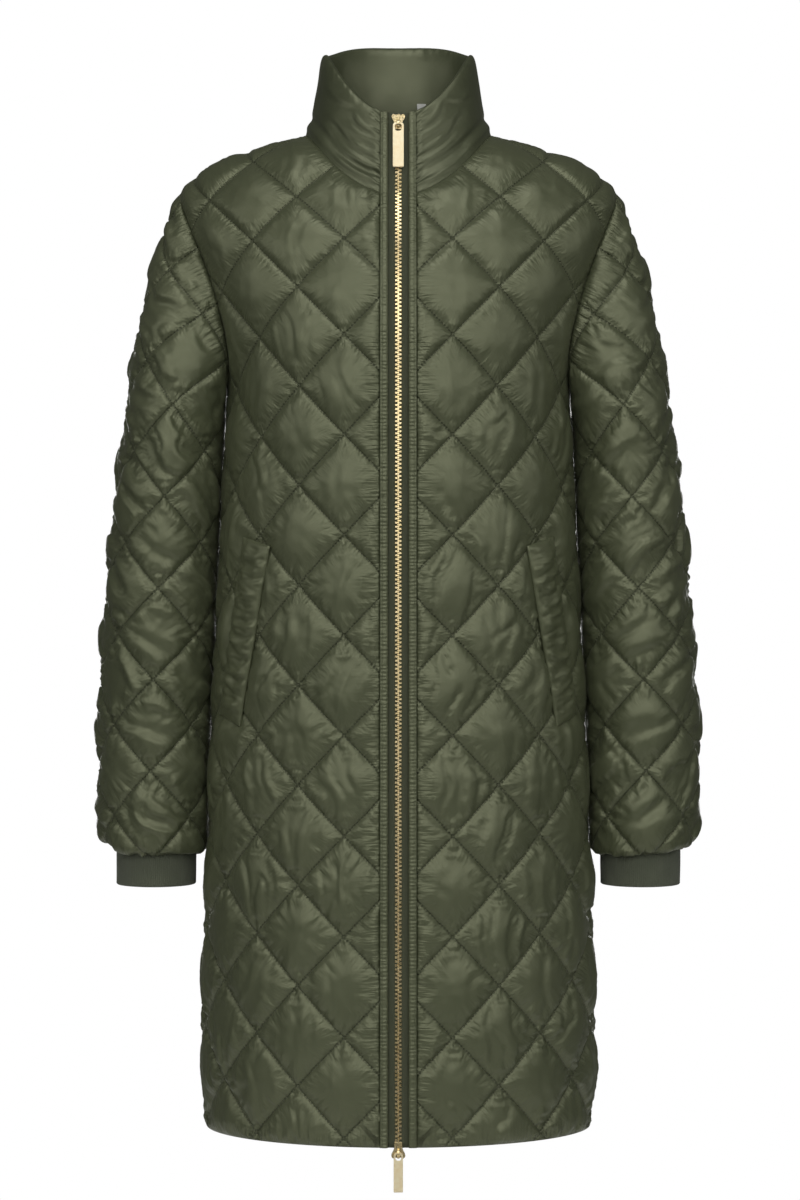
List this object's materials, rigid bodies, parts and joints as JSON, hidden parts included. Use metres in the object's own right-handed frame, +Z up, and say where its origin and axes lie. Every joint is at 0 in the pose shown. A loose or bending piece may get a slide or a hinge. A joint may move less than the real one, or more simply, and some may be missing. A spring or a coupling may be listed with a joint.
{
  "type": "quilted long coat",
  "caption": "Knee-length padded coat in diamond quilting, filled out as worn, with a plain stand collar, two-way zip, welt pockets and rib cuffs.",
  "frame": {"origin": "midway between the two points where the shoulder seams meet the collar, where the wearer's neck and shoulders hold the coat", "axes": "+Z up, +X to the wearer's left, -Y to the front of the coat"},
  "size_m": [0.5756, 0.2839, 1.0597],
  "materials": {
    "quilted_shell": "satin nylon, wadded and stitched",
    "plain_shell": "satin nylon",
    "rib_knit": "matt rib knit",
    "zip_tape": "woven tape",
    "label": "blank woven tab",
    "gold_metal": "polished pale gold"
  },
  "bodies": {
    "coat": {"front_left": "quilted_shell", "front_right": "quilted_shell", "back": "quilted_shell", "sleeve_left": "quilted_shell", "sleeve_right": "quilted_shell", "collar": "plain_shell", "band_left": "plain_shell", "band_right": "plain_shell", "pocket_welt_left": "plain_shell", "pocket_welt_right": "plain_shell", "cuff_left": "rib_knit", "cuff_right": "rib_knit", "zip_tape_left": "zip_tape", "zip_tape_right": "zip_tape", "neck_label": "label", "zip_chain": "gold_metal", "slider_top": "gold_metal", "slider_bottom": "gold_metal"},
    "pull_top": {"pull_top": "gold_metal"},
    "pull_bottom": {"pull_bottom": "gold_metal"}
  },
  "joints": [
    {"name": "pull_top_hinge", "type": "hinge", "parent": "coat", "child": "pull_top", "pos_m": [0, -0.0803, 0.00067], "axis": [-1, 0, 0], "range_deg": [0, 150]},
    {"name": "pull_bottom_hinge", "type": "hinge", "parent": "coat", "child": "pull_bottom", "pos_m": [0, -0.14146, -0.93252], "axis": [-1, 0, 0], "range_deg": [0, 150]}
  ]
}
